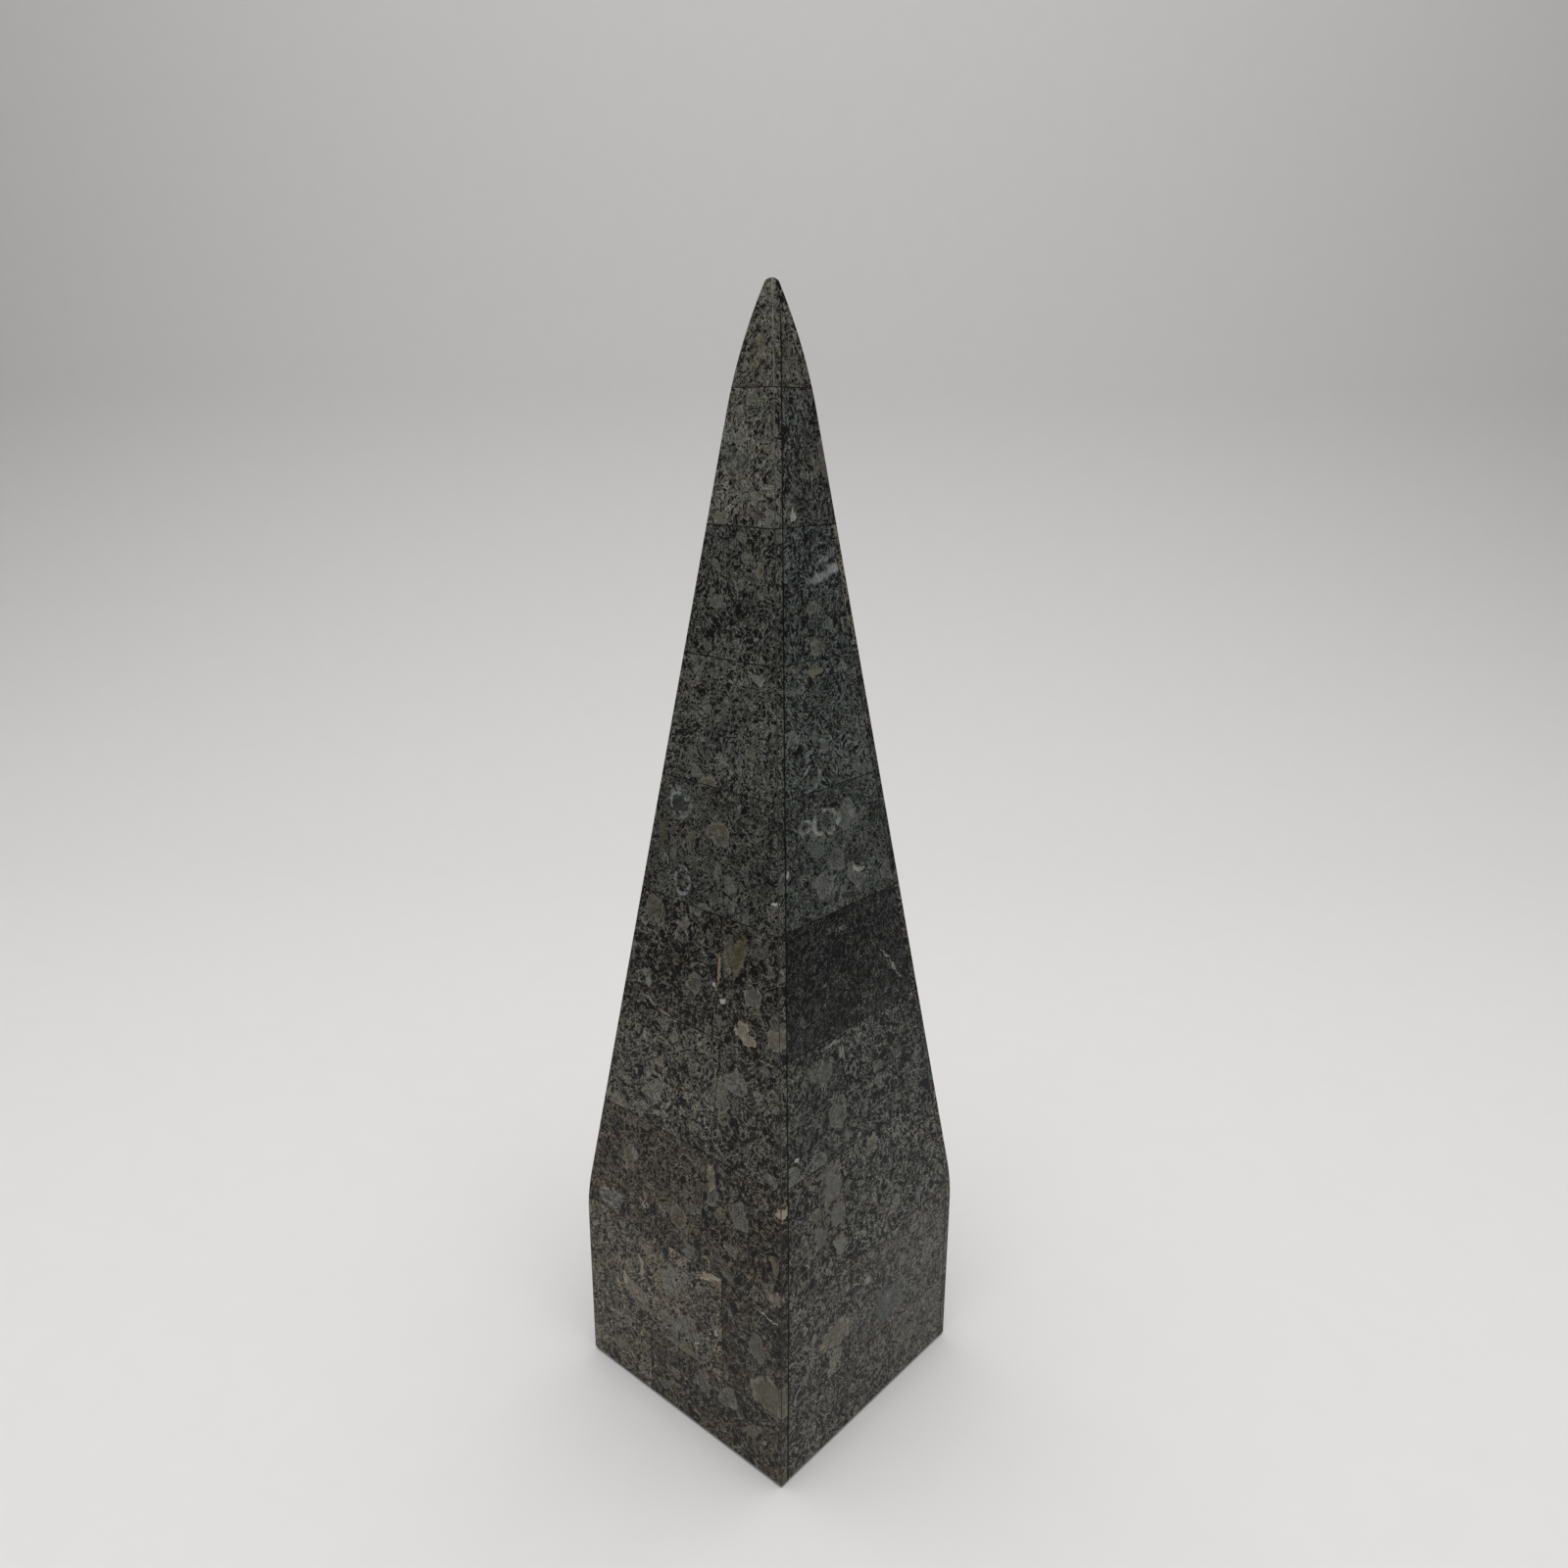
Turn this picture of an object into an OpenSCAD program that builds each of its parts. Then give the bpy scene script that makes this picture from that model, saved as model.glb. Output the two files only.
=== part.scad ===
// Tabletop obelisk: a wooden core clad in courses of thin fossil stone slabs.
// The base is upright, a long blend leads into the taper, and the top curves in to a point.
// Front and back slabs run through to the corners. Left and right slabs fit between them,
// so each corner shows the edge of the front or back slabs beside a fine upright joint.
// The origin is under the middle of the base, with +Z up and the front face towards -Y.

/* [Form] */
// Height over all, from the felt to the tip
overall_h = 406; // [380:1:460]
// Width of the square base
base_w = 101.6; // [92:0.2:112]
// Height at which the line of the base meets the line of the taper
shoulder_z = 74; // [60:1:90]
// Radius of the blend between base and taper
shoulder_r = 130; // [60:1:180]
// Height of the point, where the sides curve in
point_h = 40; // [34:1:48]
// Width of the shaft just below the point
point_w = 20.9; // [18:0.1:25]
// Radius of the rounded tip
tip_r = 1.9; // [1.2:0.1:2.4]

/* [Stone slabs] */
// Thickness of a slab
slab_t = 3.2; // [2:0.1:4]
// Joint between neighbouring slabs
joint_w = 0.3; // [0.1:0.05:0.5]
// Height of the lowest course
first_course_h = 29; // [20:0.5:40]
// Height of the top course, which is the tip
tip_course_h = 33; // [26:0.5:40]
// Width of the flat rubbed along each outer corner
arris_w = 0.4; // [0.2:0.1:2]

/* [Felt pad] */
// Thickness of the felt under the base
felt_t = 1; // [0.5:0.1:2]
// Bare rim left around the felt
felt_rim = 2; // [1:0.5:6]

/* [Hidden] */
// Courses on each face, counted from the base
COURSES = 10;
// Faces, each a quarter turn on from the one before
FACES = ["front", "right", "back", "left"];
// Upright seams of the wide courses, as shares of the width from the face's left edge
front_seam_shares = [0.34, 0.72, 0.61, 0.64, 0.60];
right_seam_shares = [0.62, 0.37, 0.36, 0.41, 0.57];
back_seam_shares = [0.45, 0.66, 0.38, 0.58, 0.43];
left_seam_shares = [0.56, 0.31, 0.65, 0.44, 0.52];
face_seam_shares = [front_seam_shares, right_seam_shares, back_seam_shares, left_seam_shares];
// Straight pieces that each arc of the outline is drawn with
arc_steps = 8;
// Reach of a cut past what it cuts
overrun = 5;
// Length of the outlines that are run through the form, enough to pass its corners
run_length = 2 * base_w;

// Form of one side: upright, blend arc, straight taper, point arc and tip arc
taper_a = atan((base_w - point_w) / 2 / (overall_h - point_h - shoulder_z));
taper_n = [cos(taper_a), sin(taper_a)];
shoulder_c = [base_w / 2 - shoulder_r, shoulder_z - shoulder_r * tan(taper_a / 2)];
point_start = [point_w / 2, overall_h - point_h];
tip_c = [0, overall_h - tip_r];
tip_to_start = point_start - tip_c;
point_r = (tip_to_start * tip_to_start - tip_r * tip_r) / 2 / (taper_n * tip_to_start - tip_r);
point_c = point_start - point_r * taper_n;
tip_a = atan2(tip_c.y - point_c.y, tip_c.x - point_c.x);

// Courses: the lowest and the tip have their own heights, and the rest share what is left
course_h = (overall_h - felt_t - first_course_h - tip_course_h) / (COURSES - 2);

function slab_name(face, course) = str(face, "_slab_", course + 1);

// Points along an arc, from one angle to another
function arc(centre, r, from_a, to_a) =
    [for (i = [0:arc_steps]) centre + r * [cos(from_a + (to_a - from_a) * i / arc_steps),
                                           sin(from_a + (to_a - from_a) * i / arc_steps)]];

// One side of the form from base to top, moved in by an inset, up to a distance from the axis
function side_line(inset, stop) = concat(
    [[base_w / 2 - inset, felt_t]],
    arc(shoulder_c, shoulder_r - inset, 0, taper_a),
    inset < tip_r
        ? concat(arc(point_c, point_r - inset, taper_a, tip_a),
                 arc(tip_c, tip_r - inset, tip_a, acos(stop / (tip_r - inset))))
        : arc(point_c, point_r - inset, taper_a, acos((stop - point_c.x) / (point_r - inset))));

function backwards(points) = [for (i = [len(points) - 1:-1:0]) points[i]];
function all_but_last(points) = [for (i = [0:len(points) - 2]) points[i]];
function mirrored(points) = [for (p = points) [-p.x, p.y]];
// The whole outline that a side line, which ends on the axis, makes with its mirror image
function both_sides(line) = concat(line, backwards(mirrored(all_but_last(line))));
// The same side line seen across the corners, drawn in by the flat there
function corner_line() = concat(
    [for (p = side_line(0, 0)) if (p.x * sqrt(2) > arris_w) [p.x * sqrt(2) - arris_w / 2, p.y]],
    [[0, overall_h]]);

// Half the width of a face at a height, along its straight lines
function half_width(z) = base_w / 2 - max(0, z - shoulder_z) * tan(taper_a);
// Heights of a course's lower and upper edge, joints included
function course_low(course) = course == 0 ? felt_t : felt_t + first_course_h + (course - 1) * course_h;
function course_high(course) = course == COURSES - 1 ? overall_h : course_low(course + 1);
// Which slabs run through to the corners
function runs_through(face) = face == "front" || face == "back";

// An outline drawn in X and Z, run along Y
module run_along_y(points) {
    rotate([90, 0, 0])
        linear_extrude(height = run_length, center = true)
            polygon(points);
}

// The band of stone on the front face, run along the face
module face_band() {
    rotate([90, 0, -90])
        linear_extrude(height = run_length, center = true)
            polygon(concat(side_line(0, joint_w / 2), backwards(side_line(slab_t, joint_w / 2))));
}

// One course of the front face, with its upright seam where it is wide
module course_slab(course, seam_share, through) {
    low = course_low(course) + (course == 0 ? 0 : joint_w / 2);
    high = course_high(course) - (course == COURSES - 1 ? 0 : joint_w / 2);
    seam_x = is_undef(seam_share) ? 0 : (seam_share * 2 - 1) * half_width((low + high) / 2);
    difference() {
        intersection() {
            face_band();
            run_along_y(both_sides(side_line(through ? 0 : slab_t + joint_w, 0)));
            translate([-base_w, -base_w, low]) cube([2 * base_w, base_w, high - low]);
            if (through) rotate(45) run_along_y(both_sides(corner_line()));
            if (through) rotate(-45) run_along_y(both_sides(corner_line()));
        }
        if (!is_undef(seam_share))
            translate([seam_x - joint_w / 2, -base_w, low - overrun])
                cube([joint_w, base_w, high - low + 2 * overrun]);
    }
}

// Stone slab course on a face
module stone_slab(face_number, course) {
    color("dimgray")
        rotate(face_number * 90)
            course_slab(course, face_seam_shares[face_number][course], runs_through(FACES[face_number]));
}

// Tapered wooden core that the slabs are bedded on
module core() {
    color("burlywood")
        intersection() {
            run_along_y(both_sides(side_line(slab_t, 0)));
            rotate(90) run_along_y(both_sides(side_line(slab_t, 0)));
        }
}

// Felt under the base
module felt_pad() {
    felt_w = base_w - 2 * felt_rim;
    color("darkgreen")
        translate([-felt_w / 2, -felt_w / 2, 0]) cube([felt_w, felt_w, felt_t]);
}

core();
felt_pad();
for (f = [0:len(FACES) - 1])
    for (c = [0:COURSES - 1])
        stone_slab(f, c);
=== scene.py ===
# %% [markdown]
# # A small obelisk clad in fossil stone
#
# The real object is an ornament for a table, about sixteen inches tall. A tapered wooden core is
# covered with thin slabs of dark fossil limestone, which are ground flush, polished to a satin and
# bedded on the core, and a felt pad lies under the base. The frame brings the core, the pad and every
# slab at their true sizes. It could be covered with one stone texture all over, but the real cladding
# is many small cuts of many stones, so this lesson dresses it slab by slab.

import math
import random
from collections import namedtuple

import bmesh
import bpy
from mathutils import Matrix, Vector


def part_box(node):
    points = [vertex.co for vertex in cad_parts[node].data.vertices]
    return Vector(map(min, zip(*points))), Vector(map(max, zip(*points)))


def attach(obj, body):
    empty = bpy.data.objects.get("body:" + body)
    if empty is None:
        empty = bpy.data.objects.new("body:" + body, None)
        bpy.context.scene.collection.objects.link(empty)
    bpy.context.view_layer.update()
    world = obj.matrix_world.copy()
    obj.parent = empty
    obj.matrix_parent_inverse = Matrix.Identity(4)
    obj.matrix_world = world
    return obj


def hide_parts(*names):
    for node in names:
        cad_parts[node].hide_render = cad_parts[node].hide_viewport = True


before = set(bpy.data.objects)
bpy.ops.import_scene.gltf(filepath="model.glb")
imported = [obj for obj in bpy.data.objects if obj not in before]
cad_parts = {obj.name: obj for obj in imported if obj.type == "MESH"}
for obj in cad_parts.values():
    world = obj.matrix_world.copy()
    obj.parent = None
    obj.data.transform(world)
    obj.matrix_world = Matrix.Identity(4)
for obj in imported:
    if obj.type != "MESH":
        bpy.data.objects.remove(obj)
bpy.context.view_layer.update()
MM = 0.001
FACES = ("front", "right", "back", "left")
COURSES = range(1, 11)

# %% [markdown]
# ## The camera
#
# The picture was taken from close by, from a little below the height of the tip, looking down with a
# wide lens, which is why the upright base seems to narrow towards its foot. The place, aim and lens
# below give the same outline. A camera looks along its own -Z, so its turn is made from the direction
# of the view, and a touch of roll comes last.

# %% Set up the camera
CAMERA_PLACE = Vector((0.2707, -0.3004, 0.3617))
CAMERA_VIEW = Vector((-0.63300, 0.71827, -0.28880))
CAMERA_ROLL = math.radians(0.24)
LENS_MM = 27.36
SENSOR_MM = 36

camera_data = bpy.data.cameras.new("photo_camera")
camera_data.lens = LENS_MM
camera_data.sensor_width = SENSOR_MM
camera_data.clip_start = 10 * MM
camera = bpy.data.objects.new("photo_camera", camera_data)
camera.location = CAMERA_PLACE
turn = CAMERA_VIEW.to_track_quat("-Z", "Y").to_matrix() @ Matrix.Rotation(CAMERA_ROLL, 3, "Z")
camera.rotation_euler = turn.to_euler()
bpy.context.scene.collection.objects.link(camera)
bpy.context.scene.camera = camera
print("camera", round(CAMERA_PLACE.length, 3), "m from the foot of the obelisk")

# %% [markdown]
# ## Shader sums
#
# A stone is many layers of noise, and joining that many nodes by hand is hard to follow. Here a small
# class wraps a socket, so that a line such as `1 - fleck * 0.8` adds the Math nodes that it needs. A
# vector or a colour goes through Vector Math, because Math would turn it grey. Every other node comes
# from one method.

# %% The wire class
class Wire:
    """A shader socket that can be used in Python sums."""

    def __init__(self, tree, socket):
        self.tree = tree
        self.socket = socket

    def node(self, kind, settings=None, sockets=None, out=0):
        """Adds a node, sets it up, fills its sockets and gives one of its outputs."""
        made = self.tree.nodes.new(kind)
        for name, value in (settings or {}).items():
            setattr(made, name, value)
        for name, value in (sockets or {}).items():
            if isinstance(value, Wire):
                self.tree.links.new(value.socket, made.inputs[name])
            else:
                made.inputs[name].default_value = value
        return Wire(self.tree, made.outputs[out])

    def beside(self, out):
        """Another output of the node that this wire comes from."""
        return Wire(self.tree, self.socket.node.outputs[out])

    def sum(self, operation, *terms):
        """One step of a sum: Math for numbers, Vector Math once a vector or a colour is in it."""
        wires = [term for term in terms if isinstance(term, Wire)]
        if all(wire.socket.type == "VALUE" for wire in wires):
            return self.node("ShaderNodeMath", {"operation": operation}, dict(enumerate(terms)))
        spread = [(term,) * 3 if isinstance(term, (int, float)) else term for term in terms]
        return self.node("ShaderNodeVectorMath", {"operation": operation}, dict(enumerate(spread)))

    def __add__(self, other):
        return self.sum("ADD", self, other)

    def __sub__(self, other):
        return self.sum("SUBTRACT", self, other)

    def __rsub__(self, other):
        return self.sum("SUBTRACT", other, self)

    def __mul__(self, other):
        return self.sum("MULTIPLY", self, other)

    def __truediv__(self, other):
        return self.sum("DIVIDE", self, other)

    def __pow__(self, other):
        return self.sum("POWER", self, other)

    def __abs__(self):
        return self.sum("ABSOLUTE", self)

    __radd__ = __add__
    __rmul__ = __mul__


print("wire class ready")

# %% Nodes that come up often
def noise(place, scale, detail=1.0, roughness=0.5, out="Fac"):
    sockets = {"Vector": place, "Scale": scale, "Detail": detail, "Roughness": roughness}
    return place.node("ShaderNodeTexNoise", None, sockets, out)


def cells(place, feature="F1", out="Distance"):
    return place.node("ShaderNodeTexVoronoi", {"feature": feature}, {"Vector": place, "Scale": 1.0}, out)


def rise(value, low, high, top=1.0):
    """0 below low, top above high, and a smooth rise between them."""
    sockets = {0: value, 1: low, 2: high, 3: 0.0, 4: top}
    return value.node("ShaderNodeMapRange", {"interpolation_type": "SMOOTHSTEP"}, sockets)


def fall(value, low, high, top=1.0):
    """top below low, 0 above high, and a smooth fall between them."""
    sockets = {0: value, 1: low, 2: high, 3: top, 4: 0.0}
    return value.node("ShaderNodeMapRange", {"interpolation_type": "SMOOTHSTEP"}, sockets)


def tint(share, under, over):
    """The colour under, covered by the colour over in the given share."""
    return share.node("ShaderNodeMix", {"data_type": "RGBA"}, {0: share, 6: under, 7: over}, 2)


def shade(colour, gain):
    """A colour made lighter or darker."""
    return tuple(gain * part for part in colour[:3]) + (1,)


print("shader sums ready")

# %% A new finish
def new_finish(name):
    """A material with its shader, and the place on the piece in millimetres."""
    material = bpy.data.materials.new(name)
    material.use_nodes = True
    tree = material.node_tree
    shader = tree.nodes["Principled BSDF"]
    place = Wire(tree, tree.nodes.new("ShaderNodeTexCoord").outputs["Object"]) * (1 / MM)
    return material, shader, place


def feed(shader, socket, wire):
    wire.tree.links.new(wire.socket, shader.inputs[socket])


print("finishes ready, with places in millimetres")

# %% [markdown]
# ## The studio
#
# The obelisk stands on a plain pale sweep: a floor that ends in front, and behind the obelisk widens
# and curves up into a backdrop. The light is soft and comes mostly from above, from one wide lamp and a
# world that is brighter overhead, and the floor throws some of it back on the base. A world that is
# dark at the sides would also show as a dark hole past the floor, and in the polish. So what is looked
# at, straight on or mirrored, is one plain grey, while what lights the stone stays as it is.

# %% Build the sweep
FLOOR_HALF = 0.58
FLOOR_BACK = 0.1
BACKDROP_BACK = 0.95
BACKDROP_HALF = 1.05
BACKDROP_HEIGHT = 1.6
SWEEP_RADIUS = 0.4
SWEEP_SEGMENTS = 16
CREASE_ANGLE = math.radians(60)
PALE_FLOOR = (0.70, 0.69, 0.68, 1)


def bevel(bm, edges, offset, segments):
    """Rounds edges off, with the settings of the editor."""
    bmesh.ops.bevel(bm, geom=edges, offset=offset, segments=segments, profile=0.5,
                    affect="EDGES", material=-1)


def link_piece(bm, name, material):
    """Turns a bmesh into an object at the origin."""
    mesh = bpy.data.meshes.new(name)
    bm.to_mesh(mesh)
    bm.free()
    mesh.materials.append(material)
    piece = bpy.data.objects.new(name, mesh)
    bpy.context.scene.collection.objects.link(piece)
    return piece


def draw_out(bm, edge, move, widen=1.0):
    """Extrudes an edge, moves it and makes it wider. Gives the new edge."""
    made = bmesh.ops.extrude_edge_only(bm, edges=[edge])["geom"]
    verts = [item for item in made if isinstance(item, bmesh.types.BMVert)]
    bmesh.ops.scale(bm, verts=verts, vec=(widen, 1, 1))
    bmesh.ops.translate(bm, verts=verts, vec=move)
    edges = [item for item in made if isinstance(item, bmesh.types.BMEdge)]
    return next(item for item in edges if set(item.verts) == set(verts))


floor_finish, floor_shader, floor_place = new_finish("pale_sweep")
floor_shader.inputs["Roughness"].default_value = 0.9
floor_shader.inputs["Specular IOR Level"].default_value = 0.1
mottle = noise(floor_place, 0.05, 3.0)
feed(floor_shader, "Base Color", tint(mottle, PALE_FLOOR, shade(PALE_FLOOR, 0.97)))

bm = bmesh.new()
bmesh.ops.create_grid(bm, x_segments=1, y_segments=1, size=FLOOR_HALF)
back_edge = max(bm.edges, key=lambda edge: sum(v.co.y for v in edge.verts))
bmesh.ops.translate(bm, verts=back_edge.verts, vec=(0, FLOOR_BACK - FLOOR_HALF, 0))
backdrop_move = (0, BACKDROP_BACK - FLOOR_BACK, 0)
backdrop_foot = draw_out(bm, back_edge, backdrop_move, BACKDROP_HALF / FLOOR_HALF)
draw_out(bm, backdrop_foot, (0, 0, BACKDROP_HEIGHT))
bmesh.ops.recalc_face_normals(bm, faces=bm.faces)
crease = [edge for edge in bm.edges if edge.calc_face_angle(0) > CREASE_ANGLE]
bevel(bm, crease, SWEEP_RADIUS, SWEEP_SEGMENTS)
view_turn = math.atan2(CAMERA_VIEW.y, CAMERA_VIEW.x) - math.pi / 2
bmesh.ops.rotate(bm, verts=bm.verts, cent=(0, 0, 0), matrix=Matrix.Rotation(view_turn, 3, "Z"))
bmesh.ops.recalc_face_normals(bm, faces=bm.faces)
for face in bm.faces:
    face.smooth = True
floor = link_piece(bm, "studio_sweep", floor_finish)
print("sweep faces:", len(floor.data.polygons))

# %% Light the studio
HORIZON_LIGHT = 0.08
OVERHEAD_LIGHT = 0.75
BACKDROP_LIGHT = 0.32
SKY_RISE = (0.05, 0.9)
LAMP_PLACE = Vector((0.1, -0.1, 1.6))
LAMP_SIZE = 1.3
LAMP_WATTS = 17

world = bpy.data.worlds.new("studio_world")
world.use_nodes = True
bpy.context.scene.world = world
sky_tree = world.node_tree
direction = Wire(sky_tree, sky_tree.nodes.new("ShaderNodeTexCoord").outputs["Generated"])
height = direction.node("ShaderNodeSeparateXYZ", None, {0: direction}, "Z")
sky_light = rise(height, *SKY_RISE, OVERHEAD_LIGHT - HORIZON_LIGHT) + HORIZON_LIGHT
looked_at = direction.node("ShaderNodeLightPath", out="Is Camera Ray")
looked_at = looked_at + looked_at.beside("Is Glossy Ray") + looked_at.beside("Is Transmission Ray")
sky_light = sky_light + rise(looked_at, 0, 1) * (BACKDROP_LIGHT - sky_light)
sky_tree.links.new(sky_light.socket, sky_tree.nodes["Background"].inputs["Strength"])
sky_tree.nodes["Background"].inputs["Color"].default_value = (1, 1, 1, 1)

lamp_data = bpy.data.lights.new("overhead_lamp", "AREA")
lamp_data.shape = "SQUARE"
lamp_data.size = LAMP_SIZE
lamp_data.energy = LAMP_WATTS
lamp = bpy.data.objects.new("overhead_lamp", lamp_data)
lamp.location = LAMP_PLACE
lamp.rotation_euler = (-LAMP_PLACE).to_track_quat("-Z", "Y").to_euler()
bpy.context.scene.collection.objects.link(lamp)
bpy.context.scene.view_settings.view_transform = "Standard"
print("lamp", LAMP_WATTS, "W,", LAMP_SIZE, "m wide")

# %% [markdown]
# ## The stone
#
# The cladding is a fossil limestone: a grey mud packed with shell crumbs, with black flecks that lean
# along the bedding, smooth shell plates, paler grains and fine pale lines where thin shells were cut
# through. A photograph could be wrapped round the form, but it would stretch over the edges of the
# slabs. A solid pattern, worked out at each point in space, runs through a slab as real stone does, so
# the slab's edge at the corner matches its face. The pattern is one node group, built once, and each
# stone feeds it a cut of its own.

# %% The stone's own colours
COOL_GREY = (0.102, 0.114, 0.107, 1)
WARM_GREY = (0.138, 0.113, 0.082, 1)
FLECK_BLACK = (0.004, 0.004, 0.004, 1)
GRAIN_PALE = (0.19, 0.19, 0.17, 1)
LINE_PALE = (0.24, 0.24, 0.21, 1)
SHELL_OLIVE = (0.110, 0.098, 0.066, 1)
SHELL_GREY = (0.110, 0.114, 0.104, 1)

# One cut of stone: how light and how warm it is, how much of it is flecks, how long they are, how far they
# lean off the upright in degrees, how many pale grains, pale lines and broken shells it has, how fine its
# grain is, and which part of the rock it comes from.
Cut = namedtuple("Cut", "tone warmth flecks length lean grains lines shells fine seed")

# One thing in the stone at a chosen place on its face: millimetres along the face and up, half sizes, a
# turn and a strength. It is a patch with a ragged edge, a shell, which is a patch with a paler rim, a ring,
# which is a rim alone, or a haze that fades out.
Mark = namedtuple("Mark", "shape colour at size turn strength", defaults=(0.0, 0.8))


def face_axes(face):
    """Directions out of a face and along it, to the right as it is looked at."""
    spin = Matrix.Rotation(FACES.index(face) * math.pi / 2, 3, "Z")
    return spin @ Vector((0, -1, 0)), spin @ Vector((1, 0, 0))


def picks(cell):
    """Three random numbers for each cell."""
    colour = cell.beside("Color")
    red = colour.node("ShaderNodeSeparateColor", None, {0: colour}, 0)
    return red, red.beside(1), red.beside(2)


print("stone colours ready")

# %% A group for the stone pattern
def new_group(name, sockets):
    """A node group with the named sockets, and wires from its inputs."""
    tree = bpy.data.node_groups.new(name, "ShaderNodeTree")
    for side, kind, names in sockets:
        for socket in names.split():
            tree.interface.new_socket(socket, in_out=side, socket_type=f"NodeSocket{kind}")
    entry = tree.nodes.new("NodeGroupInput")
    return tree, {socket.name: Wire(tree, socket) for socket in entry.outputs if socket.name}


STONE, given = new_group("fossil_stone", (
    ("INPUT", "Vector", "Place Stretch"),
    ("INPUT", "Float", "Tone Warmth Flecks Grains Lines Shells"),
    ("OUTPUT", "Color", "Mud"),
    ("OUTPUT", "Float", "Dark Pale Dust Broken"),
))
bedded = given["Place"]
bend = (noise(bedded, 0.12, 1.0, out="Color") - 0.5) * 8.0
curl = (noise(bedded, 0.6, 2.0, out="Color") - 0.5) * 2.2
loose = bedded + bend + curl
grain = loose * given["Stretch"]
print("sockets into the stone pattern:", ", ".join(given))

# %% Mud, from broad clouds to single grains
clouds = noise(bedded, 0.07, 2.0)
crumbs = cells(grain * 0.36)
crumb_tone, crumb_kind, _ = picks(crumbs)
grit = cells(grain * 0.85)
grit_tone, grit_size, _ = picks(grit)
dust = noise(grain, 2.0, 2.0, 0.6)
tone = (0.55 + clouds * 0.9) * (0.65 + crumb_tone * 0.7) * (0.72 + grit_tone * 0.56)
tone = tone * (0.3 + dust * 1.4)
hue = given["Warmth"] + (noise(bedded, 0.06, 2.0) - 0.5) * 0.6
mud = tint(hue, COOL_GREY, WARM_GREY) * (tone * given["Tone"])

# pale rounded grains
grain_is = rise(crumb_kind, 0.99 - given["Grains"] * 0.25, 1.0 - given["Grains"] * 0.25)
mud = tint(grain_is * fall(crumbs, 0.2, 0.5, 0.6), mud, GRAIN_PALE)
print("nodes with the mud:", len(STONE.nodes))

# %% Broken shells and smooth plates
PLATE_COVER = 0.5
# the two sizes of plates: their scale, a shift that sets them apart, the share of cells and the least size
PLATES = ((0.16, 5.0, 0.45, 0.24), (0.075, 17.0, 0.40, 0.22))

broken = noise(bedded + 7.0, 0.45, 1.0)
plate = 0.0
plate_rim = 0.0
for scale, shift, share, lowest in PLATES:
    plates = cells((bedded + bend + curl * 0.7) * scale + shift)
    chance, breadth, kind = picks(plates)
    chosen = rise(chance, 0.99 - share * given["Shells"], 1.0 - share * given["Shells"])
    edge = plates + (dust - 0.5) * 0.10 + (broken - 0.5) * 0.16 - (lowest + 0.18 * breadth)
    cover = fall(edge, -0.03, 0.02) * chosen
    plate_tone = (0.25 + 0.5 * dust + 0.9 * breadth) * (0.5 + 0.5 * given["Tone"])
    olive = rise(kind + given["Warmth"] * 0.5, 0.92, 0.97)
    plate_colour = tint(olive, SHELL_GREY, SHELL_OLIVE) * plate_tone
    mud = tint(cover * PLATE_COVER, mud, plate_colour)
    plate = plate + cover
    plate_rim = plate_rim + fall(abs(edge), 0.01, 0.035) * chosen
print("nodes with the shells:", len(STONE.nodes))

# %% Black flecks and strokes, crowded in some places and rare in others
crowd = (noise(bedded, 0.08, 2.0) - 0.5) * 0.7
size = (given["Flecks"] + crowd) * (1 - plate * 0.6)
rough = (dust - 0.5) * 0.4
flecks = cells(grain * 0.46 + 13.0)
fleck_edge = flecks + rough - (0.12 + 0.42 * picks(flecks)[0]) * size
fleck = fall(fleck_edge, -0.05, 0.05)
speck = fall(grit + rough - (0.12 + 0.38 * grit_size) * size, -0.06, 0.10)
outline = fall(cells(grain * 0.36, "DISTANCE_TO_EDGE"), 0.01, 0.09)
outline = outline * rise(broken + crowd * 0.3, 0.44, 0.54)
stroke = fall(abs(noise(grain + 19.0, 0.40) - 0.5), 0.010, 0.040)
stroke = stroke * fall(broken - crowd * 0.3, 0.44, 0.52) * (0.2 + given["Lines"])
dark = 1 - (1 - fleck * 0.97) * (1 - speck * 0.92) * (1 - outline * 0.85) * (1 - stroke * 0.85)
print("nodes with the flecks:", len(STONE.nodes))

# %% Pale lines of thin shells, and pale edges of plates and flecks
thread_low = 0.62 - 0.2 * given["Lines"]
thread_here = rise(noise(bedded + 29.0, 0.22), thread_low, thread_low + 0.06)
thread = fall(abs(noise(grain + 53.0, 0.36) - 0.5), 0.005, 0.028) * thread_here
fleck_rim = fall(abs(fleck_edge - 0.13), 0.02, 0.09) * rise(broken, 0.48, 0.58)
pale = 1 - (1 - thread * 0.75) * (1 - plate_rim * 0.4) * (1 - fleck_rim * 0.2)

leave = STONE.nodes.new("NodeGroupOutput")
for socket, wire in (("Mud", mud), ("Dark", dark), ("Pale", pale), ("Dust", dust), ("Broken", broken)):
    STONE.links.new(wire.socket, leave.inputs[socket])
print("nodes in the stone pattern:", len(STONE.nodes))

# %% The stone material
SEED_STEP = Vector((37.3, 51.7, 43.9))
STONE_GLOSS = 0.11
# how far the edge of a mark strays, in millimetres
STRAY = {"patch": 5.5, "shell": 5.5, "ring": 2.5, "haze": 2.5}
# where a mark that covers the stone starts to fade, as a share of its size
FADE = {"patch": 0.75, "shell": 0.75, "haze": 0.35}
# how wide the rim of a mark is, as a share of its size, and how much paler than the mark
RIMS = {"shell": (0.2, 1.7), "ring": (0.22, 1.0)}


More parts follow.
